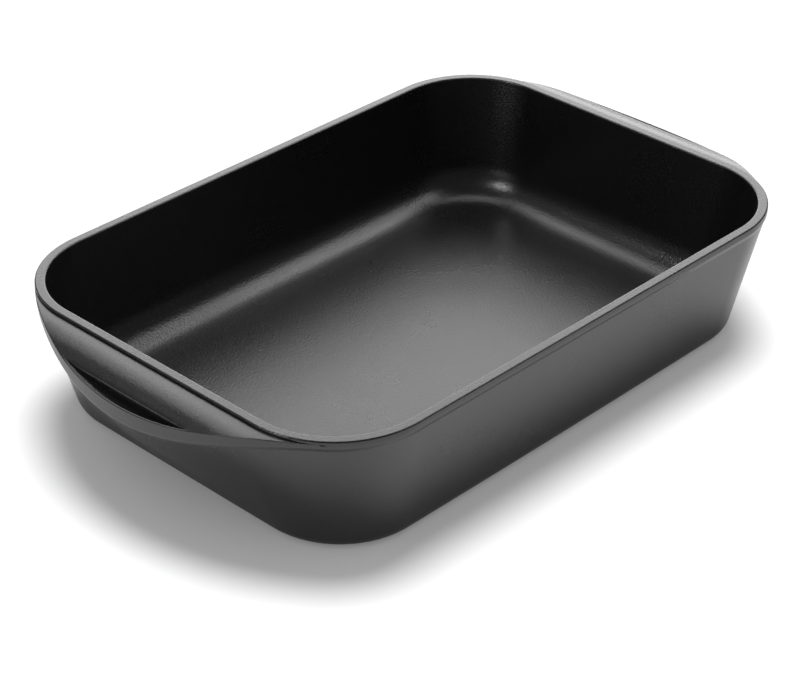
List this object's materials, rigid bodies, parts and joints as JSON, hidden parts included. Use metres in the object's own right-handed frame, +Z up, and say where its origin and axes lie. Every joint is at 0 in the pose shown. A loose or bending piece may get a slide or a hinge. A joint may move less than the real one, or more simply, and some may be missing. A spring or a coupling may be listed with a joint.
{
  "type": "roasting pan",
  "caption": "Rectangular cast roasting pan with rounded corners, drafted walls and a wing handle with a grip pocket at each short end.",
  "frame": {"origin": "middle of the flat base, on the surface that the pan rests on", "axes": "+X along the long side towards one wing, +Y across, +Z up out of the opening"},
  "size_m": [0.41, 0.251, 0.074],
  "materials": {
    "casting": "as cast, dull",
    "lining": "satin non-stick with a fine grain",
    "outer_coat": "satin with a fine grain"
  },
  "bodies": {
    "root": {"pan_casting": "casting", "interior_coating": "lining", "exterior_coating": "outer_coat"}
  },
  "joints": []
}
